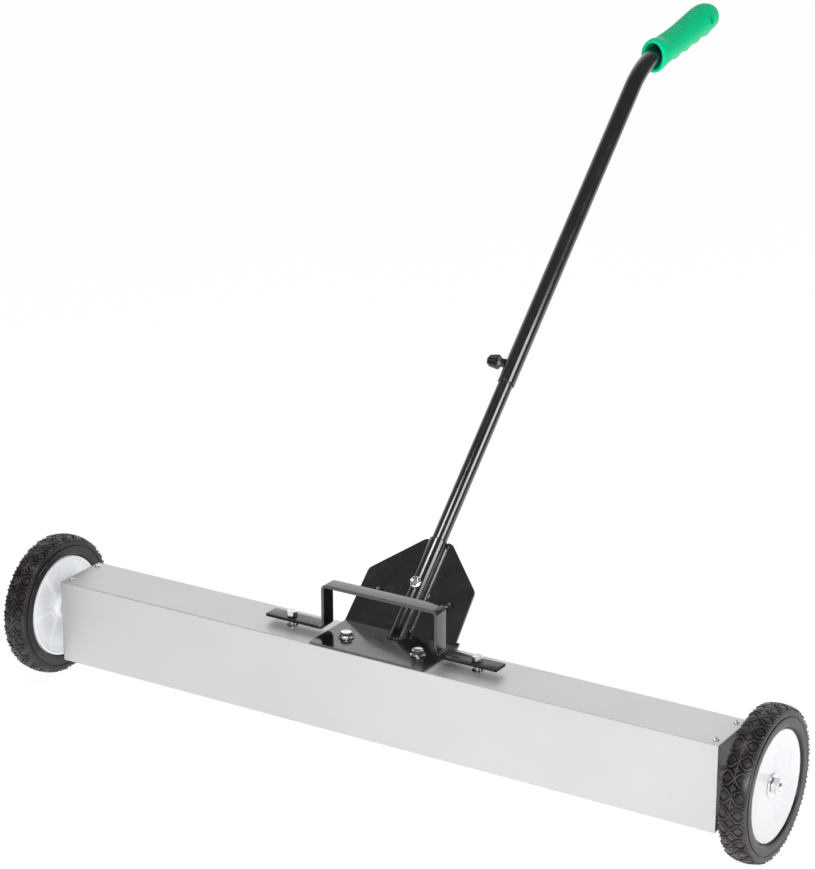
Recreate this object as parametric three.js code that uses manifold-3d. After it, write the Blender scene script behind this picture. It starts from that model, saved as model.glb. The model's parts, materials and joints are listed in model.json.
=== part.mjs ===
// Magnetic nail sweeper: an aluminium housing on two wheels carries a row of magnets that
// a bar handle lifts to drop the collected nails, and a telescopic steel handle pushes it.
// Millimetres, +Z up, +X to the right, +Y to the rear where the handle leans. The origin is
// on the floor, under the middle of the whole sweeper's bounding box.

import * as THREE from "three";
import { mergeVertices } from "three/addons/utils/BufferGeometryUtils.js";
import Module from "manifold-3d";

const wasm = await Module();
wasm.setup();

// ---- driving dimensions ------------------------------------------------------------

const GAP = 0.3;                                    // between touching solids
const ROUND = 24;                                   // facets round a tube
const HOLE_ROUND = 16;                              // facets round a hole or a shank
const TYRE_ROUND = 48;
const HUB_ROUND = 36;

const HOUSING = { length: 914.4, depth: 78, height: 107, sheet: 1.5, corner: 3, aboveAxle: 51.3 };
const END_PLATE = { thickness: 2.5, flange: 18 };
const END_SCREW = { fromEnd: 8.4, side: 26, headRadius: 3.6, headHeight: 1.8, shankRadius: 1.8, length: 8 };

const WHEEL = { radius: 90.5, width: 33.5, hubRadius: 64.6, rimRecess: 2.6, gap: 23, boss: 16, bore: 5.6 };
const AXLE = { radius: 5, headFlats: 17, headHeight: 6.4, jamNut: 6, washerRadius: 13, washer: 2 };
const AXLE_NUT = 8;                                 // height of the lock nut
const AXLE_TIP = 5;                                 // past the wheel's outer face
const HUB_RECESS = 8.3;                             // washer seat below the tyre's outer face

const CLEARANCE = 0.5;                              // of a bolt in its hole

const BASE = { halfWidth: 79.5, front: -39, rear: 39, thickness: 2.7, bend: 2.5 };
const UPRIGHT = {                                   // left and right edges, and how far up they are
  low: [-79.5, 75], lowReach: 5, mid: [-78, 72.5], midReach: 72.5, top: [-19, 18], reach: 126.3,
};
const UPRIGHT_CORNER = 4;
const DIMPLE = { left: -52, right: 48, reach: 46.5, radius: 5.8, floor: 3.4, depth: 2.2 };
const BRACKET_BOLT = { left: -49, right: 51.5, y: -5, radius: 4, flats: 13, nut: 6.5 };

const LEAN = THREE.MathUtils.degToRad(45.7);        // tube axis back from vertical
const TUBE_FOOT_Y = 35.6;                           // where the tube axis meets the base plate
const SOCKET = { outer: 11.5, inner: 9.9, length: 128, boltAt: 65, boltRadius: 3, boltFlats: 10, nut: 5 };
const LOWER_TUBE = { outer: 9.5, inner: 8.1, from: 22, to: 505 };
const UPPER_TUBE = { outer: 11.1, inner: 10, from: 352, bendAt: 806, bendRadius: 115, end: 119 };
const GRIP_PITCH = THREE.MathUtils.degToRad(10.5);  // grip axis above horizontal
const GRIP = { fromCorner: 31.5, length: 183.5, waist: 17.8, hump: 21, bore: 11.6, boreDepth: 130 };
const GRIP_MOUTH = { halfWidth: 17.8, halfHeight: 22.6, wall: 4.8, flange: 6, tilt: 6 };    // tilt in degrees
const GRIP_HOLE = { fromTip: 42, radius: 7, above: 4.7 };
const CLAMP = { at: 380, bossFlats: 11, bossLength: 6, studRadius: 2.9, studInKnob: 9 };
const KNOB = { gap: 4, length: 15, inner: 9.6, outer: 7.2, flutes: 6, fluteRadius: 2.6 };

const LIFT = {
  halfWidth: 81, reach: 161.5, top: 66.3, footTop: 11.7, thickness: 4, width: 21, y: -0.4, bend: 5,
};
const LIFT_BOLT = { x: 130, radius: 4.2, flats: 12, headHeight: 6, hole: 7, nutFlats: 13, nut: 6.5 };
const MAGNET = { count: 8, length: 84, depth: 44, height: 12, pitch: 105 };
const CARRIER = { length: 860, depth: 62, thickness: 3 };

// ---- places worked out from them ---------------------------------------------------

const AXLE_Z = WHEEL.radius;
const HOUSING_TOP = AXLE_Z + HOUSING.aboveAxle;
const HOUSING_BOTTOM = HOUSING_TOP - HOUSING.height;
const BASE_TOP = HOUSING_TOP + GAP + BASE.thickness;
const HALF_LENGTH = HOUSING.length / 2;
const WHEEL_FACE = HALF_LENGTH + WHEEL.gap;
const MAGNET_Z = HOUSING_BOTTOM + HOUSING.sheet + GAP;
const CARRIER_Z = MAGNET_Z + MAGNET.height + GAP;
const CARRIER_TOP = CARRIER_Z + CARRIER.thickness;
const FOOT_TOP = HOUSING_TOP + LIFT.footTop;
const BEND_ANGLE = Math.PI / 2 - LEAN - GRIP_PITCH;

// ---- materials ---------------------------------------------------------------------

function finish(color, roughness, metalness) {
  return new THREE.MeshStandardMaterial({ color, roughness, metalness });
}

const aluminium = finish(0xd8d8d8, 0.45, 0.6);
const blackPaint = finish(0x1b1b1d, 0.3, 0.1);
const zinc = finish(0xc9ccd0, 0.3, 0.9);
const whitePlastic = finish(0xf0f2f4, 0.4, 0);
const blackRubber = finish(0x2a2627, 0.8, 0);
const blackPlastic = finish(0x161616, 0.45, 0);
const greenPlastic = finish(0x00b87c, 0.5, 0);
const ferrite = finish(0x3c3c3e, 0.7, 0.2);

const sweeper = new THREE.Group();
const handle = new THREE.Group();                   // local +Z runs up the tube, +Y to its underside
handle.position.set(0, TUBE_FOOT_Y, BASE_TOP);
handle.rotation.x = -LEAN;
sweeper.add(handle);

function addPiece(name, geometry, material, parent = sweeper) {
  const mesh = new THREE.Mesh(geometry, material);
  mesh.name = name;
  parent.add(mesh);
  return mesh;
}

// ---- solids and booleans -----------------------------------------------------------

function toSolid(geometry) {
  const bare = geometry.clone();
  bare.deleteAttribute("normal");
  bare.deleteAttribute("uv");
  const merged = mergeVertices(bare, 1e-4);
  const corners = merged.index.array;
  const kept = [];
  for (let i = 0; i < corners.length; i += 3) {
    const [a, b, c] = corners.slice(i, i + 3);
    if (a !== b && b !== c && c !== a) kept.push(a, b, c);
  }
  const vertProperties = new Float32Array(merged.attributes.position.array);
  return new wasm.Manifold(new wasm.Mesh({ numProp: 3, vertProperties, triVerts: new Uint32Array(kept) }));
}

function toGeometry(solid) {
  const mesh = solid.getMesh();
  const geometry = new THREE.BufferGeometry();
  geometry.setAttribute("position", new THREE.BufferAttribute(mesh.vertProperties, 3));
  geometry.setIndex(new THREE.BufferAttribute(mesh.triVerts, 1));
  geometry.computeVertexNormals();
  return geometry;
}

function cut(body, ...tools) {
  return toGeometry(tools.reduce((solid, tool) => solid.subtract(toSolid(tool)), toSolid(body)));
}

function join(body, ...others) {
  return toGeometry(others.reduce((solid, other) => solid.add(toSolid(other)), toSolid(body)));
}

// ---- shape helpers -----------------------------------------------------------------

function box(x0, x1, y0, y1, z0, z1) {
  const geometry = new THREE.BoxGeometry(x1 - x0, y1 - y0, z1 - z0);
  return geometry.translate((x0 + x1) / 2, (y0 + y1) / 2, (z0 + z1) / 2);
}

function traceRoundedBox(path, width, height, radius) {
  const x = width / 2;
  const y = height / 2;
  path.moveTo(-x + radius, -y);
  path.lineTo(x - radius, -y);
  path.absarc(x - radius, -y + radius, radius, -Math.PI / 2, 0);
  path.lineTo(x, y - radius);
  path.absarc(x - radius, y - radius, radius, 0, Math.PI / 2);
  path.lineTo(-x + radius, y);
  path.absarc(-x + radius, y - radius, radius, Math.PI / 2, Math.PI);
  path.lineTo(-x, -y + radius);
  path.absarc(-x + radius, -y + radius, radius, Math.PI, Math.PI * 1.5);
  return path;
}

const roundedBox = (width, height, radius) => traceRoundedBox(new THREE.Shape(), width, height, radius);

function extrude(shape, depth, curveSegments = 4) {
  return new THREE.ExtrudeGeometry(shape, { depth, bevelEnabled: false, curveSegments });
}

// A shape drawn in (y, z) and extruded along X from x0 to x1.
function extrudeAlongX(shape, x0, x1) {
  const turn = new THREE.Matrix4().makeBasis(
    new THREE.Vector3(0, 1, 0), new THREE.Vector3(0, 0, 1), new THREE.Vector3(1, 0, 0));
  return extrude(shape, x1 - x0).applyMatrix4(turn).translate(x0, 0, 0);
}

// A shape drawn in (x, z) and extruded along Y from y0 to y1.
function extrudeAlongY(shape, y0, y1) {
  return extrude(shape, y1 - y0).rotateX(Math.PI / 2).translate(0, y1, 0);
}

function rod(radius, z0, z1, facets = HOLE_ROUND) {
  const geometry = new THREE.CylinderGeometry(radius, radius, z1 - z0, facets);
  return geometry.rotateX(Math.PI / 2).translate(0, 0, (z0 + z1) / 2);
}

const rodAlongX = (radius, x0, x1) => rod(radius, x0, x1).rotateY(Math.PI / 2);
const rodAlongY = (radius, y0, y1) => rod(radius, -y1, -y0).rotateX(Math.PI / 2);

const hexRadius = (flats) => flats / Math.sqrt(3);
const hex = (flats, z0, z1) => rod(hexRadius(flats), z0, z1, 6);

// A profile of [radius, height] pairs turned about Z.
function turned(profile, facets = ROUND) {
  const points = profile.map(([radius, height]) => new THREE.Vector2(radius, height));
  return new THREE.LatheGeometry(points, facets).rotateX(Math.PI / 2);
}

function pipe(outer, inner, z0, z1) {
  return turned([[inner, z0], [outer, z0], [outer, z1], [inner, z1], [inner, z0]]);
}

// The outline of a bent strip: a polyline's centre line with round bends, given a thickness.
function stripShape(corners, thickness, bendRadius, bendSteps = 5) {
  const points = corners.map(([x, y]) => new THREE.Vector2(x, y));
  const left = [];
  const right = [];
  const addPair = (point, direction) => {
    const side = new THREE.Vector2(-direction.y, direction.x).multiplyScalar(thickness / 2);
    left.push(point.clone().add(side));
    right.push(point.clone().sub(side));
  };
  const heading = (i) => points[i + 1].clone().sub(points[i]).normalize();
  addPair(points[0], heading(0));
  for (let i = 1; i < points.length - 1; i++) {
    const before = heading(i - 1);
    const after = heading(i);
    const turn = Math.atan2(before.cross(after), before.dot(after));
    const tangent = bendRadius * Math.tan(Math.abs(turn) / 2);
    const start = points[i].clone().addScaledVector(before, -tangent);
    const inward = new THREE.Vector2(-before.y, before.x).multiplyScalar(Math.sign(turn) * bendRadius);
    const centre = start.clone().add(inward);
    for (let step = 0; step <= bendSteps; step++) {
      const angle = (turn * step) / bendSteps;
      const origin = new THREE.Vector2();
      const point = centre.clone().sub(inward.clone().rotateAround(origin, angle));
      addPair(point, before.clone().rotateAround(origin, angle));
    }
  }
  addPair(points.at(-1), heading(points.length - 2));
  return new THREE.Shape([...right, ...left.reverse()]);
}

// ---- housing and its ends ----------------------------------------------------------

function makeHousing() {
  const middle = (HOUSING_TOP + HOUSING_BOTTOM) / 2;
  const wall = HOUSING.sheet;
  const section = roundedBox(HOUSING.depth, HOUSING.height, HOUSING.corner);
  const hollow = new THREE.Path();
  traceRoundedBox(hollow, HOUSING.depth - 2 * wall, HOUSING.height - 2 * wall, HOUSING.corner - wall);
  section.holes.push(hollow);
  const body = extrudeAlongX(section, -HALF_LENGTH, HALF_LENGTH).translate(0, 0, middle);
  const drill = (x, y, radius) => rod(radius, HOUSING_TOP - 5, HOUSING_TOP + 5).translate(x, y, 0);
  const holes = [
    drill(BRACKET_BOLT.left, BRACKET_BOLT.y, BRACKET_BOLT.radius + CLEARANCE),
    drill(BRACKET_BOLT.right, BRACKET_BOLT.y, BRACKET_BOLT.radius + CLEARANCE),
    drill(-LIFT_BOLT.x, LIFT.y, LIFT_BOLT.hole),
    drill(LIFT_BOLT.x, LIFT.y, LIFT_BOLT.hole),
  ];
  for (const x of [-1, 1]) {
    for (const y of [-1, 1]) {
      const place = [x * (HALF_LENGTH - END_SCREW.fromEnd), y * END_SCREW.side];
      holes.push(drill(...place, END_SCREW.shankRadius + CLEARANCE));
    }
  }
  addPiece("housing_shell", cut(body, ...holes), aluminium);
}

function makeEndPlate(side, name) {
  const middle = (HOUSING_TOP + HOUSING_BOTTOM) / 2;
  const inset = 2 * (HOUSING.sheet + GAP);
  const width = HOUSING.depth - inset;
  const height = HOUSING.height - inset;
  const corner = HOUSING.corner - HOUSING.sheet;
  const wall = END_PLATE.thickness;
  const deep = wall + END_PLATE.flange;
  const tray = extrudeAlongX(roundedBox(width, height, corner), -deep, 0);
  const pocket = extrudeAlongX(roundedBox(width - 2 * wall, height - 2 * wall, corner), -deep - 1, -wall);
  const axleHole = rodAlongX(AXLE.radius + CLEARANCE, -10, 10).translate(0, 0, AXLE_Z - middle);
  const screwHoles = [-1, 1].map((y) =>
    rod(END_SCREW.shankRadius + CLEARANCE, 0, height).translate(-END_SCREW.fromEnd, y * END_SCREW.side, 0));
  const geometry = cut(tray, pocket, axleHole, ...screwHoles).translate(HALF_LENGTH, 0, middle);
  if (side < 0) geometry.rotateZ(Math.PI);
  addPiece(name, geometry, blackPaint);
}

function makeEndScrews() {
  const rows = { front: -1, rear: 1 };
  const sides = { left: -1, right: 1 };
  for (const [sideName, x] of Object.entries(sides)) {
    for (const [rowName, y] of Object.entries(rows)) {
      const seat = HOUSING_TOP + GAP;
      const { headRadius, headHeight, shankRadius, length } = END_SCREW;
      const screw = turned([
        [0, seat - length], [shankRadius, seat - length], [shankRadius, seat], [headRadius, seat],
        [headRadius, seat + headHeight * 0.5], [headRadius * 0.55, seat + headHeight], [0, seat + headHeight],
      ], HOLE_ROUND);
      const socket = hex(2.4, seat + headHeight - 0.9, seat + headHeight + 1);
      const geometry = cut(screw, socket);
      geometry.translate(x * (HALF_LENGTH - END_SCREW.fromEnd), y * END_SCREW.side, 0);
      addPiece(`end_screw_${sideName}_${rowName}`, geometry, zinc);
    }
  }
}

// ---- fasteners ---------------------------------------------------------------------

// A hexagon bolt that hangs down from z = 0, with a flange where flangeRadius is given.
function boltGeometry({ radius, flats, headHeight, length, flangeRadius = 0 }) {
  const head = hex(flats, flangeRadius ? 1 : 0, headHeight);
  const shank = rod(radius, -length, 1);
  if (!flangeRadius) return join(head, shank);
  const flange = turned([[0, 0], [flangeRadius, 0], [flangeRadius, 1.2], [flats / 2, 2.4], [0, 2.4]]);
  return join(head, shank, flange);
}

function nutGeometry(flats, height, holeRadius) {
  return cut(hex(flats, 0, height), rod(holeRadius, -1, height + 1));
}

// ---- wheels ------------------------------------------------------------------------

// Profiles give [radius, distance outboard of the wheel's inner face].
function hubGeometry() {
  const { hubRadius: rim, width, rimRecess, boss, bore } = WHEEL;
  const seat = width - HUB_RECESS;
  const face = width - rimRecess;
  const disc = turned([
    [bore, -2], [boss, -2], [boss, 14], [rim - 7, 10], [rim - 4.4, 0.4], [rim, 0.4],
    [rim, face - 0.4], [rim - 2.2, face], [rim - 6, face - 1.2],
    [boss + 14, seat + 1.2], [boss, seat], [bore, seat], [bore, -2],
  ], HUB_ROUND);
  const ribs = [];
  for (let i = 0; i < 6; i++) {
    ribs.push(box(boss - 2, rim - 3, -1.5, 1.5, 3, 15).rotateZ((i * Math.PI) / 3 + Math.PI));
  }
  return join(disc, ...ribs);
}

function tyreGeometry() {
  const { radius, width, hubRadius } = WHEEL;
  const bead = hubRadius + GAP;
  const half = [[bead, 0.8], [bead + 4, 0], [radius - 9, 0], [radius - 3, 2], [radius - 0.7, 7], [radius, 12]];
  const mirrored = half.map(([r, x]) => [r, width - x]).reverse();
  return turned([...half, ...mirrored, half[0]], TYRE_ROUND);
}

function makeWheel(side, name) {
  const group = new THREE.Group();                  // local +Z points outboard
  group.position.set(0, 0, AXLE_Z);
  group.rotation.y = (side * Math.PI) / 2;
  sweeper.add(group);
  const panel = HALF_LENGTH - END_PLATE.thickness;
  const tip = WHEEL_FACE + WHEEL.width + AXLE_TIP;
  const washerFace = WHEEL_FACE + WHEEL.width - HUB_RECESS + GAP;
  const bolt = join(
    hex(AXLE.headFlats, -AXLE.headHeight, 0),
    rod(AXLE.radius, -1, tip - panel),
  ).translate(0, 0, panel - GAP);
  const jamNut = nutGeometry(AXLE.headFlats, AXLE.jamNut, AXLE.radius + GAP);
  jamNut.translate(0, 0, HALF_LENGTH + GAP);
  const spacerStart = HALF_LENGTH + AXLE.jamNut + 2 * GAP;
  const spacer = pipe(AXLE.radius + 4, AXLE.radius + GAP, spacerStart, WHEEL_FACE - 2 - GAP);
  const hub = hubGeometry().translate(0, 0, WHEEL_FACE);
  const tyre = tyreGeometry().translate(0, 0, WHEEL_FACE);
  const washer = pipe(AXLE.washerRadius, AXLE.radius + GAP, washerFace, washerFace + AXLE.washer);
  const nut = nutGeometry(AXLE.headFlats, AXLE_NUT, AXLE.radius + GAP);
  nut.translate(0, 0, washerFace + AXLE.washer + GAP);
  addPiece(`axle_bolt_${name}`, bolt, zinc, group);
  addPiece(`axle_jam_nut_${name}`, jamNut, zinc, group);
  addPiece(`axle_spacer_${name}`, spacer, zinc, group);
  addPiece(`wheel_hub_${name}`, hub, whitePlastic, group);
  addPiece(`tyre_${name}`, tyre, blackRubber, group);
  addPiece(`axle_washer_${name}`, washer, zinc, group);
  addPiece(`axle_lock_nut_${name}`, nut, zinc, group);
}

// ---- handle bracket ----------------------------------------------------------------

// The frame of the upright plate: X across, Y up its front face from the fold, Z out of that face.
function uprightFrame() {
  const up = new THREE.Vector3(0, Math.sin(LEAN), Math.cos(LEAN));
  const across = new THREE.Vector3(1, 0, 0);
  const out = new THREE.Vector3().crossVectors(across, up);
  return new THREE.Matrix4().makeBasis(across, up, out).setPosition(0, BASE.rear, BASE_TOP);
}

// What is trimmed off a plain bent strip to leave the upright's sloping shoulders.
function shoulderTrim() {
  const { low, lowReach, mid, midReach, top, reach } = UPRIGHT;
  const corner = UPRIGHT_CORNER;
  const margin = 30;
  const leftSlope = new THREE.Vector2(top[0] - mid[0], reach - midReach).setLength(corner);
  const rightSlope = new THREE.Vector2(top[1] - mid[1], reach - midReach).setLength(corner);
  const trim = new THREE.Shape();
  trim.moveTo(low[0] - margin, lowReach);
  trim.lineTo(low[0], lowReach);
  trim.lineTo(mid[0], midReach - corner);
  trim.quadraticCurveTo(mid[0], midReach, mid[0] + leftSlope.x, midReach + leftSlope.y);
  trim.lineTo(top[0] - leftSlope.x, reach - leftSlope.y);
  trim.quadraticCurveTo(top[0], reach, top[0] + corner, reach);
  trim.lineTo(top[1] - corner, reach);
  trim.quadraticCurveTo(top[1], reach, top[1] - rightSlope.x, reach - rightSlope.y);
  trim.lineTo(mid[1] + rightSlope.x, midReach + rightSlope.y);
  trim.quadraticCurveTo(mid[1], midReach, mid[1], midReach - corner);
  trim.lineTo(low[1], lowReach);
  trim.lineTo(low[1] + margin, lowReach);
  trim.lineTo(low[1] + margin, reach + margin);
  trim.lineTo(low[0] - margin, reach + margin);
  return extrude(trim, 2 * margin).translate(0, 0, -margin).applyMatrix4(uprightFrame());
}

function makeHandleBracket() {
  const middle = BASE_TOP - BASE.thickness / 2;
  const corner = BASE.rear + (BASE.thickness / 2) * Math.tan((Math.PI / 2 - LEAN) / 2);
  const rise = UPRIGHT.reach + 4;
  const side = stripShape([
    [BASE.front, middle], [corner, middle],
    [corner + rise * Math.sin(LEAN), middle + rise * Math.cos(LEAN)],
  ], BASE.thickness, BASE.bend);
  const strip = extrudeAlongX(side, -BASE.halfWidth, BASE.halfWidth);
  const tube = rod(SOCKET.outer + GAP, -60, 200, ROUND).rotateX(-LEAN).translate(0, TUBE_FOOT_Y, BASE_TOP);
  const tubeRoom = cut(tube, box(-30, 30, -40, 80, HOUSING_TOP - 60, BASE_TOP));
  const boltHole = rod(BRACKET_BOLT.radius + CLEARANCE, HOUSING_TOP - 5, BASE_TOP + 5);
  const drill = (x) => boltHole.clone().translate(x, BRACKET_BOLT.y, 0);
  const { radius, floor, depth, reach } = DIMPLE;
  const punch = turned([[0, -depth], [floor, -depth], [radius, 0], [radius, 1], [0, 1]]);
  const dimple = (x) => punch.clone().translate(x, reach, 0).applyMatrix4(uprightFrame());
  const pressed = [dimple(DIMPLE.left), dimple(DIMPLE.right)];
  const cutters = [shoulderTrim(), tubeRoom, drill(BRACKET_BOLT.left), drill(BRACKET_BOLT.right), ...pressed];
  addPiece("handle_bracket", cut(strip, ...cutters), blackPaint);
}

function makeBracketBolts() {
  const { radius, flats, y, nut: nutHeight } = BRACKET_BOLT;
  const nutFoot = HOUSING_TOP - HOUSING.sheet - GAP - nutHeight;
  for (const side of ["left", "right"]) {
    const bolt = boltGeometry({ radius, flats, headHeight: 7, length: 14, flangeRadius: 9.5 });
    bolt.translate(BRACKET_BOLT[side], y, BASE_TOP + GAP);
    addPiece(`bracket_bolt_${side}`, bolt, zinc);
    const nut = nutGeometry(flats, nutHeight, radius + GAP).translate(BRACKET_BOLT[side], y, nutFoot);
    addPiece(`bracket_nut_${side}`, nut, zinc);
  }
}

// ---- tubes, clamp and grip, in the handle's own frame -------------------------------

const socketBoltHole = () => rodAlongY(SOCKET.boltRadius + CLEARANCE, -20, 20).translate(0, 0, SOCKET.boltAt);

function makeSocket() {
  const { outer, inner, length, boltAt, boltRadius, boltFlats, nut: nutHeight } = SOCKET;
  const tube = pipe(outer, inner, -20, length);
  const belowBase = box(-30, 30, -60, 60, -60, GAP).rotateX(LEAN);
  addPiece("socket_tube", cut(tube, socketBoltHole(), belowBase), blackPaint, handle);
  const bolt = boltGeometry({
    radius: boltRadius, flats: boltFlats, headHeight: 6, length: 2 * outer + nutHeight + 3, flangeRadius: 7.2,
  });
  bolt.rotateX(Math.PI / 2).translate(0, -outer - GAP, boltAt);
  addPiece("socket_bolt", bolt, zinc, handle);
  const nut = nutGeometry(boltFlats, nutHeight, boltRadius + GAP).rotateX(-Math.PI / 2);
  nut.translate(0, outer + GAP, boltAt);
  addPiece("socket_nut", nut, zinc, handle);
}

function makeLowerTube() {
  const tube = pipe(LOWER_TUBE.outer, LOWER_TUBE.inner, LOWER_TUBE.from, LOWER_TUBE.to);
  addPiece("lower_tube", cut(tube, socketBoltHole()), blackPaint, handle);
}

// A straight run, one round bend towards +Y and a second straight run, stepped only in the bend.
class BentPath extends THREE.Curve {
  constructor(start, bendAt, radius, angle, tail, bendSteps) {
    super();
    Object.assign(this, { start, bendAt, radius, angle, tail, bendSteps });
    this.steps = bendSteps + 2;
  }

  turnAt(u) {
    const step = THREE.MathUtils.clamp(u * this.steps - 1, 0, this.bendSteps);
    return (this.angle * step) / this.bendSteps;
  }

  getPointAt(u, target = new THREE.Vector3()) {
    const step = u * this.steps;
    const turn = this.turnAt(u);
    const y = this.radius * (1 - Math.cos(turn));
    const z = this.bendAt + this.radius * Math.sin(turn);
    const before = Math.max(1 - step, 0) * (this.bendAt - this.start);
    const after = Math.max(step - this.steps + 1, 0) * this.tail;
    return target.set(0, y + after * Math.sin(turn), z - before + after * Math.cos(turn));
  }

  getTangentAt(u, target = new THREE.Vector3()) {
    const turn = this.turnAt(u);
    return target.set(0, Math.sin(turn), Math.cos(turn));
  }
}

function sweepCircle(path, radius) {
  const section = new THREE.Shape().absarc(0, 0, radius, 0, Math.PI * 2);
  const options = { steps: path.steps, extrudePath: path, curveSegments: ROUND / 2 };
  return new THREE.ExtrudeGeometry(section, options);
}

function makeUpperTube() {
  const { outer, inner, from, bendAt, bendRadius, end } = UPPER_TUBE;
  const outside = sweepCircle(new BentPath(from, bendAt, bendRadius, BEND_ANGLE, end, 7), outer);
  const inside = sweepCircle(new BentPath(from - 2, bendAt, bendRadius, BEND_ANGLE, end + 2, 7), inner);
  const screwHole = rodAlongX(CLAMP.studRadius + GAP, -outer - 5, 0).translate(0, 0, CLAMP.at);
  addPiece("upper_tube", cut(outside, inside, screwHole), blackPaint, handle);
}

function makeClamp() {
  const { at, bossFlats, bossLength, studRadius, studInKnob } = CLAMP;
  const seat = UPPER_TUBE.outer + GAP;
  const face = seat + bossLength + KNOB.gap;
  const place = (geometry) => geometry.rotateY(-Math.PI / 2).translate(0, 0, at);
  const boss = nutGeometry(bossFlats, bossLength, studRadius + GAP).translate(0, 0, seat);
  const stud = rod(studRadius, LOWER_TUBE.outer + GAP, face + studInKnob);
  const cone = turned([
    [0, face], [KNOB.inner - 1, face], [KNOB.inner, face + 1.2], [KNOB.outer + 0.6, face + KNOB.length - 2],
    [KNOB.outer - 1, face + KNOB.length], [0, face + KNOB.length],
  ]);
  const blindHole = rod(studRadius + GAP, face - 1, face + studInKnob + GAP);
  const flutes = [];
  for (let i = 0; i < KNOB.flutes; i++) {
    const flute = rod(KNOB.fluteRadius, face - 1, face + KNOB.length + 1, 10);
    flutes.push(flute.translate(KNOB.inner + 1.2, 0, 0).rotateZ((i * 2 * Math.PI) / KNOB.flutes));
  }
  addPiece("clamp_boss", place(boss), blackPaint, handle);
  addPiece("clamp_stud", place(stud), zinc, handle);
  addPiece("clamp_knob", place(cut(cone, blindHole, ...flutes)), blackPlastic, handle);
}

function makeGrip() {
  const { fromCorner, length, waist, hump, bore, boreDepth } = GRIP;
  const { halfWidth, halfHeight, wall, flange, tilt } = GRIP_MOUTH;
  const tangent = UPPER_TUBE.bendRadius * Math.tan(BEND_ANGLE / 2);
  const body = [
    [0, 0], [waist - 1, 0], [waist - 0.5, 16], [waist, 30], [waist, 80], [hump - 1.6, 112], [hump, 138],
    [hump, 150], [hump - 2.6, 163], [hump - 7.2, 174], [hump - 13.5, 181.5], [0, length],
  ];
  // The mouth's flange is an oval, turned as a circle and then squeezed sideways.
  const squeeze = (geometry, inset) => geometry.scale(halfWidth - inset, halfHeight - inset, 1);
  const rimOutline = [[0, -4], [1, -4], [1, flange], [0.86, flange + 8], [0.7, flange + 15], [0, flange + 15]];
  const rim = squeeze(turned(rimOutline), 0);
  const funnel = squeeze(turned([[0, -8], [1, -8], [1, 8], [0.8, 18], [0, 18]]), wall);
  const tubeHole = rod(bore, -8, boreDepth);
  const hangHole = rodAlongX(GRIP_HOLE.radius, -30, 30);
  hangHole.translate(0, -GRIP_HOLE.above, length - GRIP_HOLE.fromTip);
  const slantedMouth = box(-40, 40, -60, 60, -60, 0).rotateX(-THREE.MathUtils.degToRad(tilt));
  const geometry = cut(join(turned(body, 32), rim), funnel, tubeHole, hangHole, slantedMouth);
  geometry.translate(0, 0, fromCorner).rotateX(-BEND_ANGLE);
  geometry.translate(0, 0, UPPER_TUBE.bendAt + tangent);
  addPiece("grip", geometry, greenPlastic, handle);
}

// ---- lifting magnets ---------------------------------------------------------------

function makeLiftHandle() {
  const { halfWidth, reach, top, thickness, width, y, bend } = LIFT;
  const half = thickness / 2;
  const footZ = FOOT_TOP - half;
  const topZ = HOUSING_TOP + top - half;
  const legX = halfWidth - half;
  const outline = stripShape([
    [-reach, footZ], [-legX, footZ], [-legX, topZ], [legX, topZ], [legX, footZ], [reach, footZ],
  ], thickness, bend);
  const bar = extrudeAlongY(outline, y - width / 2, y + width / 2);
  const holes = [-1, 1].map((side) =>
    rod(LIFT_BOLT.radius + GAP, footZ - 5, footZ + 5).translate(side * LIFT_BOLT.x, y, 0));
  addPiece("lift_handle", cut(bar, ...holes), blackPaint);
}

function makeMagnetCarrier() {
  const { length, depth, thickness } = CARRIER;
  const plate = box(-length / 2, length / 2, -depth / 2, depth / 2, CARRIER_Z, CARRIER_Z + thickness);
  const holes = [-1, 1].map((side) =>
    rod(LIFT_BOLT.radius + GAP, CARRIER_Z - 1, CARRIER_TOP + 1).translate(side * LIFT_BOLT.x, LIFT.y, 0));
  addPiece("magnet_carrier", cut(plate, ...holes), zinc);
  for (let i = 0; i < MAGNET.count; i++) {
    const x = (i - (MAGNET.count - 1) / 2) * MAGNET.pitch;
    const halfLength = MAGNET.length / 2;
    const halfDepth = MAGNET.depth / 2;
    const top = MAGNET_Z + MAGNET.height;
    const magnet = box(x - halfLength, x + halfLength, -halfDepth, halfDepth, MAGNET_Z, top);
    addPiece(`magnet_${i + 1}`, magnet, ferrite);
  }
}

function makeLiftBolts() {
  const { radius, flats, headHeight, x, nutFlats, nut: nutHeight } = LIFT_BOLT;
  const sides = { left: -1, right: 1 };
  for (const [name, side] of Object.entries(sides)) {
    const length = FOOT_TOP - CARRIER_Z;
    const bolt = boltGeometry({ radius, flats, headHeight, length });
    bolt.translate(side * x, LIFT.y, FOOT_TOP + GAP);
    addPiece(`lift_bolt_${name}`, bolt, zinc);
    const nut = nutGeometry(nutFlats, nutHeight, radius + GAP).translate(side * x, LIFT.y, CARRIER_TOP + GAP);
    addPiece(`lift_nut_${name}`, nut, zinc);
  }
}

// ---- assembly ----------------------------------------------------------------------

makeHousing();
makeEndPlate(-1, "end_plate_left");
makeEndPlate(1, "end_plate_right");
makeEndScrews();
makeWheel(-1, "left");
makeWheel(1, "right");
makeHandleBracket();
makeBracketBolts();
makeSocket();
makeLowerTube();
makeUpperTube();
makeClamp();
makeGrip();
makeLiftHandle();
makeMagnetCarrier();
makeLiftBolts();

const bounds = new THREE.Box3().setFromObject(sweeper, true);
sweeper.position.y = -(bounds.min.y + bounds.max.y) / 2;

export default sweeper;
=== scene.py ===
"""Magnetic nail sweeper: detailed meshes, materials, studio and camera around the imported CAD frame.

Sizes are in millimetres until row_frame() or basis() turns them into the frame's metres. Places come
from the frame.
"""

import json
import math

import bmesh
import bpy
from mathutils import Matrix, Vector


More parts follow.
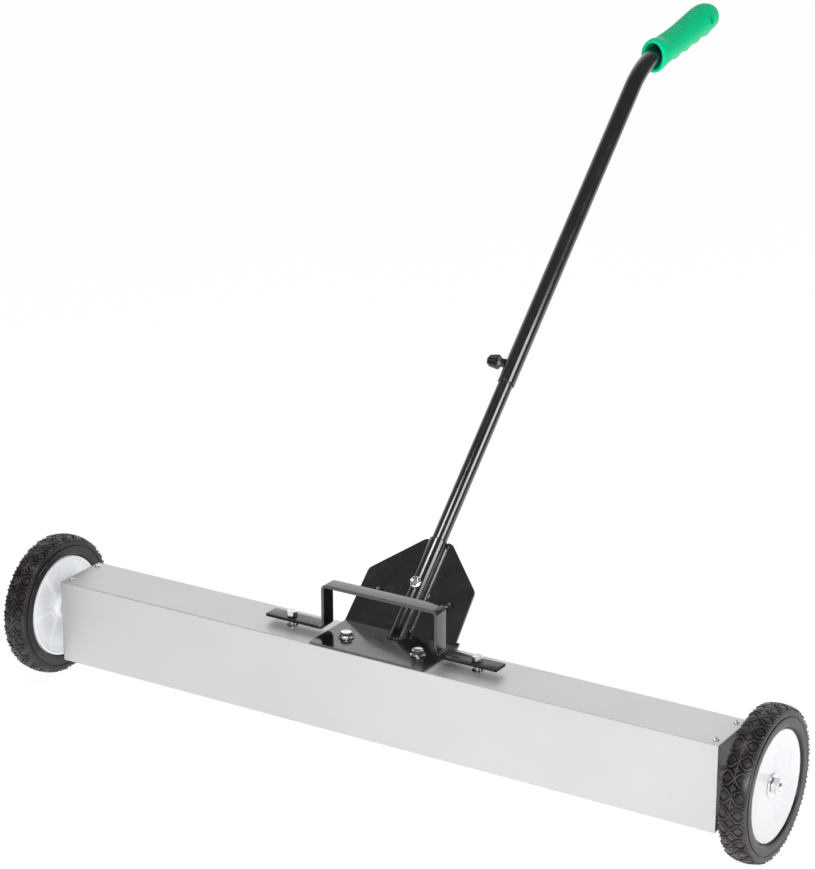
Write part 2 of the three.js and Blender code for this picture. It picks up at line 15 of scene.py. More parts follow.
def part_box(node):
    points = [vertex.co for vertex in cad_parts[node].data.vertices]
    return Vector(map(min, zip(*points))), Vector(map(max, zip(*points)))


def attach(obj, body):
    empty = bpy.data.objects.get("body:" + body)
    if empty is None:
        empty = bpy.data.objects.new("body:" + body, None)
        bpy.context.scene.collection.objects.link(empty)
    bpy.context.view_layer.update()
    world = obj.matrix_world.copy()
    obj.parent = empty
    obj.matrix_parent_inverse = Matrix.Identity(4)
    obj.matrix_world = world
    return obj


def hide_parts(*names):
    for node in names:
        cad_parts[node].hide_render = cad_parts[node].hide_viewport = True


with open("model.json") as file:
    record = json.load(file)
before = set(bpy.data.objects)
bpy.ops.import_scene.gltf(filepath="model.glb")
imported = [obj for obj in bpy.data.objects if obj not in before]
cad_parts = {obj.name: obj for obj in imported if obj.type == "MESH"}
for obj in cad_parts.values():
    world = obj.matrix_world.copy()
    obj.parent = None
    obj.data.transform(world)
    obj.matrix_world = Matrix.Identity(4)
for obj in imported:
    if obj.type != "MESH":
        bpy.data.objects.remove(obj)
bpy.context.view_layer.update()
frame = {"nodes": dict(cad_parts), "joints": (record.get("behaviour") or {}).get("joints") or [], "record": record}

# ---- what the frame gives ----------------------------------------------------------

MM = 0.001
TAU = 2 * math.pi
JOINTS = {joint["name"]: joint for joint in frame["joints"]}
HOUSING_LOW, HOUSING_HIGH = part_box("housing_shell")
AXLE_Y = JOINTS["wheel_right_spin"]["pos_m"][1]
AXLE_Z = JOINTS["wheel_right_spin"]["pos_m"][2]
HALF_LENGTH = HOUSING_HIGH.x
HOUSING_TOP = HOUSING_HIGH.z
GAP = 0.3                                            # between pieces that are fixed together
PLATE = 2.7                                          # of the handle bracket
BASE_TOP = HOUSING_TOP + (GAP + PLATE) * MM

CLAMP_AT = 380                                       # along the tube
TUBE_AXIS = Vector(JOINTS["handle_telescope"]["axis"]).normalized()
TUBE_FRONT = Vector((1, 0, 0)).cross(TUBE_AXIS)      # points forwards and up, square to the tube
knob_centre = Vector(JOINTS["clamp_knob_turn"]["pos_m"])
TUBE_FOOT = Vector((0, knob_centre.y, knob_centre.z)) - TUBE_AXIS * CLAMP_AT * MM
LEAN = math.atan2(TUBE_AXIS.y, TUBE_AXIS.z)


def row_frame(x, y, z):
    """A place in millimetres, Y from the axle line, as a point of the frame."""
    return Vector((x * MM, AXLE_Y + y * MM, z * MM))


def basis(origin, x_axis, y_axis, z_axis):
    """A matrix from local millimetres to the frame's metres."""
    turn = Matrix((x_axis, y_axis, z_axis)).transposed().to_4x4()
    return Matrix.Translation(origin) @ turn @ Matrix.Scale(MM, 4)


X, Y, Z = Vector((1, 0, 0)), Vector((0, 1, 0)), Vector((0, 0, 1))
# Local +Z runs up the tube and local +Y points to its underside.
TUBE = basis(TUBE_FOOT, X, -TUBE_FRONT, TUBE_AXIS)


def upright(origin):
    """Local axes as the frame's own, at an origin in the frame."""
    return basis(origin, X, Y, Z)


def middle_of(node, z):
    """The point at height z that is level with the middle of a node's box."""
    low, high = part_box(node)
    return Vector(((low.x + high.x) / 2, (low.y + high.y) / 2, z))


# ---- materials ---------------------------------------------------------------------


class Look:
    """A node material under construction, with object coordinates ready to use."""

    def __init__(self, name, **surface):
        self.material = bpy.data.materials.new(name)
        self.material.use_nodes = True
        self.tree = self.material.node_tree
        self.shader = self.tree.nodes["Principled BSDF"]
        for socket, value in surface.items():
            self.shader.inputs[socket.replace("_", " ")].default_value = value
        self.coordinates = self.tree.nodes.new("ShaderNodeTexCoord")
        self.last_bump = None

    def link(self, source, target):
        self.tree.links.new(source, target)

    def noise(self, scale, detail=3.0, stretch=(1, 1, 1)):
        mapping = self.tree.nodes.new("ShaderNodeMapping")
        mapping.inputs["Scale"].default_value = stretch
        texture = self.tree.nodes.new("ShaderNodeTexNoise")
        texture.inputs["Scale"].default_value = scale
        texture.inputs["Detail"].default_value = detail
        self.link(self.coordinates.outputs["Object"], mapping.inputs["Vector"])
        self.link(mapping.outputs["Vector"], texture.inputs["Vector"])
        return texture.outputs["Fac"]

    def cells(self, scale):
        texture = self.tree.nodes.new("ShaderNodeTexVoronoi")
        texture.inputs["Scale"].default_value = scale
        self.link(self.coordinates.outputs["Object"], texture.inputs["Vector"])
        return texture.outputs["Distance"]

    def calculate(self, operation, *inputs):
        """A math node. Each input is a number or the output of another node."""
        node = self.tree.nodes.new("ShaderNodeMath")
        node.operation = operation
        for socket, value in zip(node.inputs, inputs):
            if isinstance(value, float):
                socket.default_value = value
            else:
                self.link(value, socket)
        return node.outputs[0]

    def object_place(self):
        split = self.tree.nodes.new("ShaderNodeSeparateXYZ")
        self.link(self.coordinates.outputs["Object"], split.inputs["Vector"])
        return split.outputs

    def in_millimetres(self, metres):
        return self.spread(metres, 0, 1, 0, 1000, clamp=False)

    def from_axle(self):
        """Distance from the axle line in millimetres."""
        place = self.object_place()
        join = self.tree.nodes.new("ShaderNodeCombineXYZ")
        for axis, middle in (("Y", AXLE_Y), ("Z", AXLE_Z)):
            self.link(self.calculate("SUBTRACT", place[axis], middle), join.inputs[axis])
        length = self.tree.nodes.new("ShaderNodeVectorMath")
        length.operation = "LENGTH"
        self.link(join.outputs["Vector"], length.inputs[0])
        return self.in_millimetres(length.outputs["Value"])

    def from_middle(self):
        """Distance along the axle from the middle of the sweeper, in millimetres."""
        return self.in_millimetres(self.calculate("ABSOLUTE", self.object_place()["X"]))

    def edges(self, low, high):
        """1 on convex edges and 0 elsewhere."""
        geometry = self.tree.nodes.new("ShaderNodeNewGeometry")
        return self.spread(geometry.outputs["Pointiness"], low, high, 0, 1)

    def spread(self, value, low, high, to_low, to_high, clamp=True):
        node = self.tree.nodes.new("ShaderNodeMapRange")
        limits = {"From Min": low, "From Max": high, "To Min": to_low, "To Max": to_high}
        for socket, number in limits.items():
            node.inputs[socket].default_value = number
        node.clamp = clamp
        self.link(value, node.inputs["Value"])
        return node.outputs["Result"]

    def multiply(self, a, b):
        return self.calculate("MULTIPLY", a, b)

    def colours(self, value, first, second, base=None):
        """Mixes two colours, or a colour into what base carries."""
        node = self.tree.nodes.new("ShaderNodeMix")
        node.data_type = "RGBA"
        node.inputs["A"].default_value = (*first, 1)
        node.inputs["B"].default_value = (*second, 1)
        if base:
            self.link(base, node.inputs["A"])
        self.link(value, node.inputs["Factor"])
        self.link(node.outputs["Result"], self.shader.inputs["Base Color"])
        return node.outputs["Result"]

    def mottled(self, cloud, first, second):
        return self.colours(self.spread(cloud, 0.3, 0.7, 0, 1), first, second)

    def roughness(self, value, low, high):
        self.link(self.spread(value, 0.3, 0.7, low, high), self.shader.inputs["Roughness"])

    def bump(self, height, strength, distance_mm):
        node = self.tree.nodes.new("ShaderNodeBump")
        node.inputs["Strength"].default_value = strength
        node.inputs["Distance"].default_value = distance_mm * MM
        self.link(height, node.inputs["Height"])
        if self.last_bump:
            self.link(self.last_bump, node.inputs["Normal"])
        self.last_bump = node.outputs["Normal"]
        self.link(self.last_bump, self.shader.inputs["Normal"])


# Where looks change: from the middle, and on the tyre from the axle.
BAR_FOOT_START, HUB_INNER_END = (84, 88), (497, 502)
RING_START, RING_END, TREAD_START = (66.4, 68.4), (75.0, 78.0), (79.5, 84.5)


def aluminium_sheet():
    look = Look("satin_aluminium", Metallic=0.7, Specular_IOR_Level=0.5)
    grain = look.noise(900, 4, (0.03, 1, 1))
    cloud = look.noise(6, 3)
    look.mottled(cloud, (0.66, 0.66, 0.655), (0.70, 0.70, 0.695))
    look.roughness(grain, 0.42, 0.50)
    look.bump(grain, 0.10, 0.04)
    return look.material


def black_paint():
    """The lifting bar's feet and the end plates are duller, only to match the tones in the photo."""
    look = Look("gloss_black_powder_coat", Coat_Weight=0.3, Coat_Roughness=0.06)
    cloud = look.noise(34, 3)
    tint = look.mottled(cloud, (0.006, 0.006, 0.0065), (0.012, 0.0115, 0.012))
    rubbed = look.multiply(look.edges(0.52, 0.62), look.spread(look.noise(160, 4), 0.45, 0.7, 0, 0.5))
    look.colours(rubbed, (0, 0, 0), (0.06, 0.058, 0.056), tint)
    look.roughness(cloud, 0.10, 0.18)
    # Less specular reflection on the bar's feet and the end plates: painted shade, not a different paint.
    gloss = look.spread(look.from_middle(), *BAR_FOOT_START, 0.95, 0.30)
    look.link(gloss, look.shader.inputs["Specular IOR Level"])
    look.bump(look.noise(260, 2), 0.06, 0.06)
    return look.material


def zinc_steel():
    look = Look("bright_zinc", Metallic=1.0)
    cloud = look.noise(120, 4)
    scratches = look.noise(1500, 3, (1, 0.15, 1))
    look.mottled(cloud, (0.72, 0.735, 0.76), (0.90, 0.90, 0.89))
    look.roughness(scratches, 0.16, 0.30)
    look.bump(scratches, 0.12, 0.05)
    return look.material


def white_plastic():
    """The discs' inner faces glow a little, only to match the tone of the left one in the photo."""
    look = Look("white_moulded_plastic", Specular_IOR_Level=0.5)
    cloud = look.noise(22, 3)
    look.mottled(cloud, (0.78, 0.80, 0.82), (0.84, 0.85, 0.86))
    look.roughness(cloud, 0.24, 0.36)
    look.bump(look.noise(500, 2), 0.06, 0.06)
    glow = look.spread(look.from_middle(), *HUB_INNER_END, 0.21, 0)
    look.shader.inputs["Emission Color"].default_value = (0.95, 0.97, 1, 1)
    look.link(glow, look.shader.inputs["Emission Strength"])
    return look.material


def black_rubber():
    look = Look("moulded_black_rubber", Specular_IOR_Level=0.38)
    cloud = look.noise(45, 5)
    tint = look.colours(look.spread(cloud, 0.35, 0.7, 0, 1), (0.006, 0.005, 0.005), (0.016, 0.013, 0.0125))
    radius = look.from_axle()
    ring = look.multiply(look.spread(radius, *RING_START, 0, 1), look.spread(radius, *RING_END, 1, 0))
    tint = look.colours(ring, (0, 0, 0), (0.024, 0.021, 0.020), tint)
    # Lighter colour on the tread's convex edges: partly wear, partly a painted highlight.
    wear_and_highlight = look.multiply(look.edges(0.51, 0.60), look.spread(look.noise(70, 3), 0.35, 0.65, 0.25, 1.0))
    tread = look.multiply(wear_and_highlight, look.spread(radius, *TREAD_START, 0.15, 1))
    look.colours(tread, (0, 0, 0), (0.13, 0.115, 0.108), tint)
    look.roughness(cloud, 0.24, 0.40)
    look.bump(look.noise(900, 3), 0.18, 0.10)
    return look.material


def black_plastic():
    look = Look("black_moulded_plastic", Specular_IOR_Level=0.5)
    cloud = look.noise(150, 4)
    look.mottled(cloud, (0.006, 0.006, 0.006), (0.013, 0.013, 0.013))
    look.roughness(cloud, 0.22, 0.34)
    look.bump(look.noise(900, 2), 0.12, 0.08)
    return look.material


def green_grip():
    look = Look("green_moulded_vinyl", Specular_IOR_Level=0.10)
    cloud = look.noise(60, 4)
    tint = look.mottled(cloud, (0.0, 0.62, 0.262), (0.0, 0.68, 0.29))
    # Lighter green on the convex edges is a painted highlight.
    look.colours(look.edges(0.505, 0.56), (0, 0, 0), (0.004, 0.78, 0.42), tint)
    look.roughness(cloud, 0.30, 0.42)
    look.bump(look.noise(1100, 3), 0.12, 0.05)
    return look.material


def ferrite():
    look = Look("pressed_ferrite", Specular_IOR_Level=0.4)
    grain = look.cells(1400)
    look.colours(look.noise(300, 4), (0.035, 0.035, 0.037), (0.075, 0.073, 0.075))
    look.roughness(look.noise(80, 3), 0.55, 0.75)
    look.bump(grain, 0.3, 0.1)
    return look.material


MATERIALS = {
    make.__name__: make()
    for make in (
        aluminium_sheet, black_paint, zinc_steel, white_plastic,
        black_rubber, black_plastic, green_grip, ferrite,
    )
}
for part in frame["record"]["subparts"]:
    node = frame["nodes"][part["node"]]
    node.data.materials.clear()
    node.data.materials.append(MATERIALS[part["material_slot"]])


# ---- mesh making -------------------------------------------------------------------


def finish_piece(piece, slot, body, *nodes, sharp=32, flat_faces=False):
    """Shades a piece, gives it its material, and ties it to its body and the nodes it stands for."""
    mesh = piece.data
    mesh.materials.clear()
    mesh.materials.append(MATERIALS[slot])
    mesh.shade_smooth()
    mesh.set_sharp_from_angle(angle=math.radians(sharp))
    if flat_faces:
        modifier = piece.modifiers.new("normals", "WEIGHTED_NORMAL")
        modifier.weight = 100
        modifier.keep_sharp = True
        bake_modifiers(piece)
    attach(piece, body)
    if nodes:
        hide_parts(*nodes)


def as_object(name, bm):
    bmesh.ops.recalc_face_normals(bm, faces=bm.faces)
    mesh = bpy.data.meshes.new(name)
    bm.to_mesh(mesh)
    bm.free()
    piece = bpy.data.objects.new(name, mesh)
    bpy.context.scene.collection.objects.link(piece)
    return piece


def skin(bm, rows, place, ring=False):
    """Joins rows of points, each a closed loop, with quads.

    A ring closes on itself. Otherwise the first and last rows are capped.
    """
    loops = [[bm.verts.new(place @ point) for point in row] for row in rows]
    pairs = list(zip(loops, loops[1:]))
    if ring:
        pairs.append((loops[-1], loops[0]))
    for low, high in pairs:
        for i, vertex in enumerate(low):
            after = (i + 1) % len(low)
            bm.faces.new((vertex, low[after], high[after], high[i]))
    if not ring:
        bm.faces.new(list(reversed(loops[0])))
        bm.faces.new(loops[-1])


def at_angle(value, angle):
    return value(angle) if callable(value) else value


def spun_rows(stations, facets):
    """Stations of (radius, height) about local Z. Either may be a function of the angle."""
    angles = [TAU * i / facets for i in range(facets)]
    return [
        [
            Vector((at_angle(r, a) * math.cos(a), at_angle(r, a) * math.sin(a), at_angle(h, a)))
            for a in angles
        ]
        for r, h in stations
    ]


def spun(name, stations, place, facets=96, ring=False):
    bm = bmesh.new()
    skin(bm, spun_rows(stations, facets), place, ring)
    return as_object(name, bm)


def arc(centre, radius, start, end, steps):
    """Points on an arc, with angles in degrees."""
    points = []
    for i in range(steps + 1):
        angle = math.radians(start + (end - start) * i / steps)
        points.append((centre[0] + radius * math.cos(angle), centre[1] + radius * math.sin(angle)))
    return points


def softened(corners, radius, steps=4, closed=True):
    """A polyline with its corners rounded."""
    result = []
    count = len(corners)
    for i, corner in enumerate(corners):
        here = Vector(corner)
        if not closed and i in (0, count - 1):
            result.append(tuple(here))
            continue
        back = Vector(corners[i - 1]) - here
        on = Vector(corners[(i + 1) % count]) - here
        half = back.angle(on) / 2
        reach = min(radius / math.tan(half), 0.49 * back.length, 0.49 * on.length)
        start = here + back.normalized() * reach
        end = here + on.normalized() * reach
        for k in range(steps + 1):
            t = k / steps
            point = start * (1 - t) ** 2 + here * 2 * t * (1 - t) + end * t ** 2
            result.append(tuple(point))
    return result


def ring_section(outer, inner, low, high, edge):
    """The closed profile of a tube or washer with softened edges."""
    return softened([(inner, low), (outer, low), (outer, high), (inner, high)], edge, 3)


def hexagon(flats):
    """The radius of a hexagon at an angle."""
    def radius(angle):
        within = (angle % (TAU / 6)) - TAU / 12
        return flats / 2 / math.cos(within)
    return radius


HEX_FACETS = 72
HEX_FACE = 0.96                                      # share of a hexagon's face left by its chamfer
CHAMFER_SLOPE = math.tan(math.radians(30))


def chamfered(flats, height, direction):
    """The height of the chamfer's edge on a hexagon whose face is at height."""
    outline = hexagon(flats)
    face = flats / 2 * HEX_FACE
    return lambda angle: height - direction * (outline(angle) - face) * CHAMFER_SLOPE


def bake_modifiers(piece):
    depsgraph = bpy.context.evaluated_depsgraph_get()
    mesh = bpy.data.meshes.new_from_object(piece.evaluated_get(depsgraph))
    piece.modifiers.clear()
    piece.data = mesh
    return piece


def drill(piece, radius, place, low, high, facets=48):
    """Cuts a round hole along local Z."""
    cutter = spun(piece.name + "_drill", [(radius, low), (radius, high)], place, facets)
    modifier = piece.modifiers.new("hole", "BOOLEAN")
    modifier.operation = "DIFFERENCE"
    modifier.solver = "EXACT"
    modifier.object = cutter
    bake_modifiers(piece)
    bpy.data.objects.remove(cutter)


def refined(name, node, bevel, segments=2):
    """A copy of a CAD node's shape with its sharp edges rounded."""
    bm = bmesh.new()
    bm.from_mesh(frame["nodes"][node].data)
    bmesh.ops.remove_doubles(bm, verts=bm.verts, dist=0.01 * MM)
    bmesh.ops.dissolve_limit(bm, angle_limit=math.radians(1), verts=bm.verts, edges=bm.edges)
    piece = as_object(name, bm)
    modifier = piece.modifiers.new("edges", "BEVEL")
    modifier.width = bevel * MM
    modifier.segments = segments
    modifier.limit_method = "ANGLE"
    modifier.angle_limit = math.radians(40)
    return bake_modifiers(piece)


# ---- housing -----------------------------------------------------------------------


def rounded_rectangle(width, height, radius, steps=6):
    x = width / 2 - radius
    y = height / 2 - radius
    return [
        *arc((x, y), radius, 0, 90, steps),
        *arc((-x, y), radius, 90, 180, steps),
        *arc((-x, -y), radius, 180, 270, steps),
        *arc((x, -y), radius, 270, 360, steps),
    ]


LIFT_BOLT_HOLE = 7.0                                 # radius of the holes in the housing


def make_housing():
    size = (HOUSING_HIGH - HOUSING_LOW) / MM
    centre = (HOUSING_HIGH + HOUSING_LOW) / 2
    sheet, corner, lip, lip_drop = 1.5, 0.9, 2.2, 0.35
    half = size.x / 2
    inner = 12                                       # from the end to the first ring past the lip

    def outline(x, inset):
        points = rounded_rectangle(size.y - 2 * inset, size.z - 2 * inset, max(corner - inset, 0.6))
        return [Vector((x, y, z)) for y, z in points]

    outside = [
        (-half, 0.75), (-half + 0.05, lip_drop + 0.1), (-half + 0.3, lip_drop), (-half + lip * 0.7, 0.1),
        (-half + lip, 0), (-half + inner, 0),
    ]
    stations = [(-half + inner, sheet), (-half + 0.3, sheet), (-half, 1.2), *outside]
    stations += [(-x, inset) for x, inset in reversed(stations)]
    bm = bmesh.new()
    skin(bm, [outline(x, inset) for x, inset in stations], upright(centre), ring=True)
    housing = as_object("housing_sheet", bm)
    for node in ("lift_bolt_left", "lift_bolt_right"):
        drill(housing, LIFT_BOLT_HOLE, upright(middle_of(node, HOUSING_TOP)), -4, 4)
    finish_piece(housing, "aluminium_sheet", "chassis", "housing_shell", flat_faces=True)


def steel_piece(name, stations, place, body, node, facets=HEX_FACETS, ring=False):
    finish_piece(spun(name, stations, place, facets, ring), "zinc_steel", body, node)


def make_end_pieces():
    for side in ("left", "right"):
        plate = refined(f"end_tray_{side}", f"end_plate_{side}", 0.5)
        finish_piece(plate, "black_paint", "chassis", f"end_plate_{side}", sharp=50, flat_faces=True)
        for row in ("front", "rear"):
            node = f"end_screw_{side}_{row}"
            seat = upright(middle_of(node, HOUSING_TOP + GAP * MM))
            recess = hexagon(3.2)
            stations = [
                (1.8, -8), (1.8, 0), (3.5, 0), (3.6, 0.2), (3.5, 0.75), (2.9, 1.35), (2.3, 1.7), (2.0, 1.8),
                (lambda a: recess(a) + 0.1, 1.75), (recess, 1.6), (recess, 0.6),
            ]
            steel_piece(f"{node}_head", stations, seat, "chassis", node)


# ---- fasteners ---------------------------------------------------------------------


def thread(radius, low, high, pitch):
    """Rings of crests and roots, from low to high."""
    stations = []
    depth = 0.6 * pitch
    turns = int(round((high - low) / pitch))
    step = (high - low) / turns
    for i in range(turns):
        start = low + i * step
        stations += [(radius - depth, start), (radius, start + 0.4 * step), (radius, start + 0.6 * step)]
    stations += [(radius - depth, high), (radius - depth - 0.6, high + 0.4)]
    return stations


def bolt_stations(flats, head, shank, length, flange=0.0):
    """From the tip of the shank at -length to the top of the head. The flange is the radius of its collar."""
    outline = hexagon(flats)
    stations = [(shank - 0.8, -length), (shank, -length + 0.8), (shank, 0)]
    if flange:
        stations += [
            (flange - 0.5, 0), (flange, 0.35), (flange, 1.0), (flange - 0.5, 1.4),
            (lambda a: outline(a) + 0.5, 2.1), (outline, 2.6),
        ]
    else:
        stations += [(lambda a: outline(a) - 0.4, 0), (outline, 0.4)]
    face = flats / 2 * HEX_FACE
    stations += [
        (outline, chamfered(flats, head, 1)), (face, head), (face - 0.9, head), (face - 1.5, head - 0.35),
        (0.3, head - 0.35),
    ]
    return stations


def nut_stations(flats, height, hole):
    outline = hexagon(flats)
    face = flats / 2 * HEX_FACE
    return [
        (hole, 0.5), (hole + 0.5, 0), (face, 0), (outline, chamfered(flats, 0, -1)),
        (outline, chamfered(flats, height, 1)), (face, height), (hole + 0.6, height), (hole, height - 0.6),
    ]


def make_bracket_bolts():
    for side in ("left", "right"):
        centre = middle_of(f"bracket_bolt_{side}", BASE_TOP + GAP * MM)
        spin = Matrix.Rotation(math.radians(17 if side == "left" else -8), 4, "Z")
        stations = bolt_stations(13, head=7, shank=4, length=14, flange=9.5)
        place = upright(centre) @ spin
        steel_piece(f"bracket_bolt_head_{side}", stations, place, "chassis", f"bracket_bolt_{side}")


def make_lift_bolts():
    for side in ("left", "right"):
        low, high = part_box(f"lift_bolt_{side}")
        head, shank = 6, 4.2
        seat = high.z - head * MM
        centre = middle_of(f"lift_bolt_{side}", seat)
        length = (seat - low.z) / MM
        spin = Matrix.Rotation(math.radians(12 if side == "left" else 40), 4, "Z")
        stations = bolt_stations(12, head, shank, length)
        stations[2:2] = thread(shank, -length + 1.2, -4.4, 1.5)[:-1]
        place = upright(centre) @ spin
        steel_piece(f"lift_bolt_body_{side}", stations, place, "magnet_lift", f"lift_bolt_{side}")


# ---- wheels ------------------------------------------------------------------------

WHEEL_GAP = 23                                       # from the end plate to the wheel
WHEEL_FACE = HALF_LENGTH / MM + WHEEL_GAP
WHEEL_WIDTH = 33.5
TYRE_BASE = 88.5                                     # radius at the bottom of the tread's grooves
CROWN = 40.0                                         # radius of the tread's curve across the tyre
REPEATS = 28                                         # of the tread's pattern
ROUND_FACETS = 168
HUB_FACETS = 180


def wheel_place(side):
    """Local +Z points outboard from the wheel's inner face."""
    outboard = Vector((side, 0, 0))
    origin = Vector((side * WHEEL_FACE * MM, AXLE_Y, AXLE_Z))
    return basis(origin, Vector((0, side, 0)), Z, outboard)


def crown_point(across, height):
    """Radius and distance outboard of a point on the tread, height above its grooves."""
    angle = across / CROWN
    radius = TYRE_BASE - CROWN * (1 - math.cos(angle)) + height * math.cos(angle)
    return radius, WHEEL_WIDTH / 2 + (CROWN + height) * math.sin(angle)


def on_tread(across, along, height):
    radius, outboard = crown_point(across, height)
    angle = along / TYRE_BASE
    return Vector((radius * math.cos(angle), radius * math.sin(angle), outboard))


def tyre_profile():
    """The tyre without its tread blocks, as a closed loop of (radius, distance outboard)."""
    edge = 15.5
    tread = [crown_point(edge * (i / 12 - 1), 0) for i in range(25)]
    side = [
        (84.2, 32.4), (82.0, 32.8), (80.2, 32.8), (79.3, 32.5), (78.9, 32.0), (78.5, 32.1), (78.2, 32.9),
        (77.6, 33.35), (75.0, 33.45), (71.0, 33.4), (68.4, 33.1), (67.2, 32.6), (66.6, 31.6), (66.1, 30.4),
        (65.3, 29.9), (64.95, 29.4), (64.9, 27.0),
    ]
    other = [(r, WHEEL_WIDTH - x) for r, x in reversed(side)]
    return other + tread + side


def add_block(bm, place, across, along, half_across, half_along, top):
    """A raised diamond on the tread."""
    corners = [(half_across, 0), (0, half_along), (-half_across, 0), (0, -half_along)]
    outline = softened(corners, 0.7, 2)
    rows = []
    for grow, height in ((1.10, -0.6), (1.02, top - 0.45), (0.97, top - 0.12), (0.86, top)):
        rows.append([on_tread(across + a * grow, along + c * grow, height) for a, c in outline])
    skin(bm, rows, place)


def add_ridge(bm, place, path, width, top):
    """A raised line with sloping sides along a path of (across, along)."""
    rows = []
    for i, point in enumerate(path):
        before = Vector(path[max(i - 1, 0)])
        after = Vector(path[min(i + 1, len(path) - 1)])
        heading = (after - before).normalized()
        normal = Vector((-heading.y, heading.x))
        section = [(-1.0, -0.5), (-0.74, top - 0.3), (-0.5, top), (0.5, top), (0.74, top - 0.3), (1.0, -0.5)]
        row = []
        for offset, height in section:
            spot = Vector(point) + normal * offset * width / 2
            row.append(on_tread(spot.x, spot.y, height))
        rows.append(row)
    skin(bm, rows, place)


def make_tyre(side, name):
    place = wheel_place(side)
    bm = bmesh.new()
    skin(bm, spun_rows(tyre_profile(), ROUND_FACETS), place, ring=True)
    pitch = TAU * TYRE_BASE / REPEATS
    curl = softened([(0.4, 0.5), (4.6, 5.6), (7.6, 7.7), (12.2, 7.4), (15.2, 3.6)], 1.2, 3, closed=False)
    for i in range(REPEATS):
        along = i * pitch
        add_block(bm, place, 0, along + pitch / 2, 4.2, 3.9, 1.4)
        for mirror in (-1, 1):
            add_block(bm, place, mirror * 8.6, along, 5.2, 4.6, 1.3)
            add_block(bm, place, mirror * 14.2, along + pitch / 2, 2.4, 1.9, 1.1)
            for flip in (-1, 1):
                path = [(mirror * a, along + flip * c) for a, c in curl]
                add_ridge(bm, place, path, 1.5, 1.85)
    seam = ((-0.5, -0.4), (-0.22, 1.8), (0.22, 1.8), (0.5, -0.4))
    parting = [(TYRE_BASE + h, WHEEL_WIDTH / 2 + x) for x, h in seam]
    skin(bm, spun_rows(parting, ROUND_FACETS), place, ring=True)
    tyre = as_object(f"tyre_tread_{name}", bm)
    finish_piece(tyre, "black_rubber", f"wheel_{name}", f"tyre_{name}", sharp=28)


def smooth_step(value, low, high):
    t = min(max((value - low) / (high - low), 0), 1)
    return t * t * (3 - 2 * t)


def rib_height(radius, angle, ribs=6):
    """How far the hub's inner face rises between its pockets, from 0 to 1."""
    span = TAU / ribs
    offset = abs((angle + span / 2) % span - span / 2) * radius
    return 1 - smooth_step(offset, 1.0, 6.0)


def make_hub(side, name):
    """The inner face has pockets between ribs, and the outer face is a shallow dish."""
    def pocket(radius, floor):
        def height(angle):
            inward = smooth_step(radius, 17, 22) * (1 - smooth_step(radius, 55, 59.5))
            return floor + inward * 2.6 * (1 - rib_height(radius, angle))
        return height

    def dish(radius, base):
        wave = 0.45 * smooth_step(radius, 20, 44) * smooth_step(62, radius, 76)
        return lambda angle: base - wave * math.cos(6 * angle)

    inner = [(5.6, -2.0), (15.2, -2.0), (16.0, -1.2), (16.3, 6.5)]
    pocket_radii = (17, 18.5, 20, 22, 26, 30, 35, 40, 45, 50, 54, 56.5, 58.5)
    inner += [(r, pocket(r, 7.0 - (r - 17) * 0.03)) for r in pocket_radii]
    inner += [(60.2, 6.0), (61.0, 4.5), (61.6, 1.4), (62.3, 0.5), (63.4, 0.3), (64.3, 0.5), (64.6, 1.2)]
    outer = [(64.6, 29.6), (64.5, 30.4), (64.1, 30.75), (63.4, 30.85)]
    outer += [(62.6, 30.8), (61.6, 30.5), (60.4, 30.0), (59.0, 29.5)]
    for r in (57, 54, 50, 46, 42, 38, 34, 30, 26, 23, 20):
        outer.append((r, dish(r, 25.6 + 3.7 * ((r - 20) / 38) ** 1.4)))
    outer += [(18.2, 25.5), (16.6, 25.35), (15.8, 25.2), (5.9, 25.2), (5.6, 24.8)]
    hub = spun(f"wheel_disc_{name}", inner + outer, wheel_place(side), HUB_FACETS, ring=True)
    finish_piece(hub, "white_plastic", f"wheel_{name}", f"wheel_hub_{name}", sharp=40)


def make_axle_pieces(side, name):
    place = wheel_place(side)
    flats, hole, shank = 17, 5.3, 5
    head_height, jam_height, lock_height, washer = 6.4, 6, 8, 2
    seat = WHEEL_WIDTH - 8.3 + GAP                   # of the washer, in the hub's outer face
    tip = WHEEL_WIDTH + 4.7
    section = ring_section(13, hole, seat, seat + washer, 0.5)
    steel_piece(f"axle_washer_disc_{name}", section, place, "chassis", f"axle_washer_{name}", 96, ring=True)
    turn = Matrix.Rotation(math.radians(20 if side > 0 else 5), 4, "Z")
    lift = place @ Matrix.Translation((0, 0, seat + 2.3)) @ turn
    stations = nut_stations(flats, lock_height, hole)
    steel_piece(f"axle_lock_nut_body_{name}", stations, lift, "chassis", f"axle_lock_nut_{name}", ring=True)
    panel = -WHEEL_GAP - 2.5 - GAP                   # inner face of the end plate
    end = panel - head_height
    bolt = [
        (0.3, end), (8.0, end), (hexagon(flats), chamfered(flats, end, -1)), (hexagon(flats), panel),
        (shank, panel), *thread(shank, panel + 1, tip - 0.8, 1.5), (0.3, tip - 0.05),
    ]
    steel_piece(f"axle_bolt_body_{name}", bolt, place, "chassis", f"axle_bolt_{name}")
    jam = place @ Matrix.Translation((0, 0, -WHEEL_GAP + GAP))
    stations = nut_stations(flats, jam_height, hole)
    steel_piece(f"axle_jam_nut_body_{name}", stations, jam, "chassis", f"axle_jam_nut_{name}", ring=True)
    sleeve = ring_section(9, hole, -WHEEL_GAP + jam_height + 2 * GAP, -2 - GAP, 0.5)
    steel_piece(f"axle_sleeve_{name}", sleeve, place, "chassis", f"axle_spacer_{name}", 48, ring=True)


# ---- bracket and its welds ---------------------------------------------------------

SOCKET_OUTER, SOCKET_INNER, SOCKET_LENGTH = 11.5, 9.9, 128


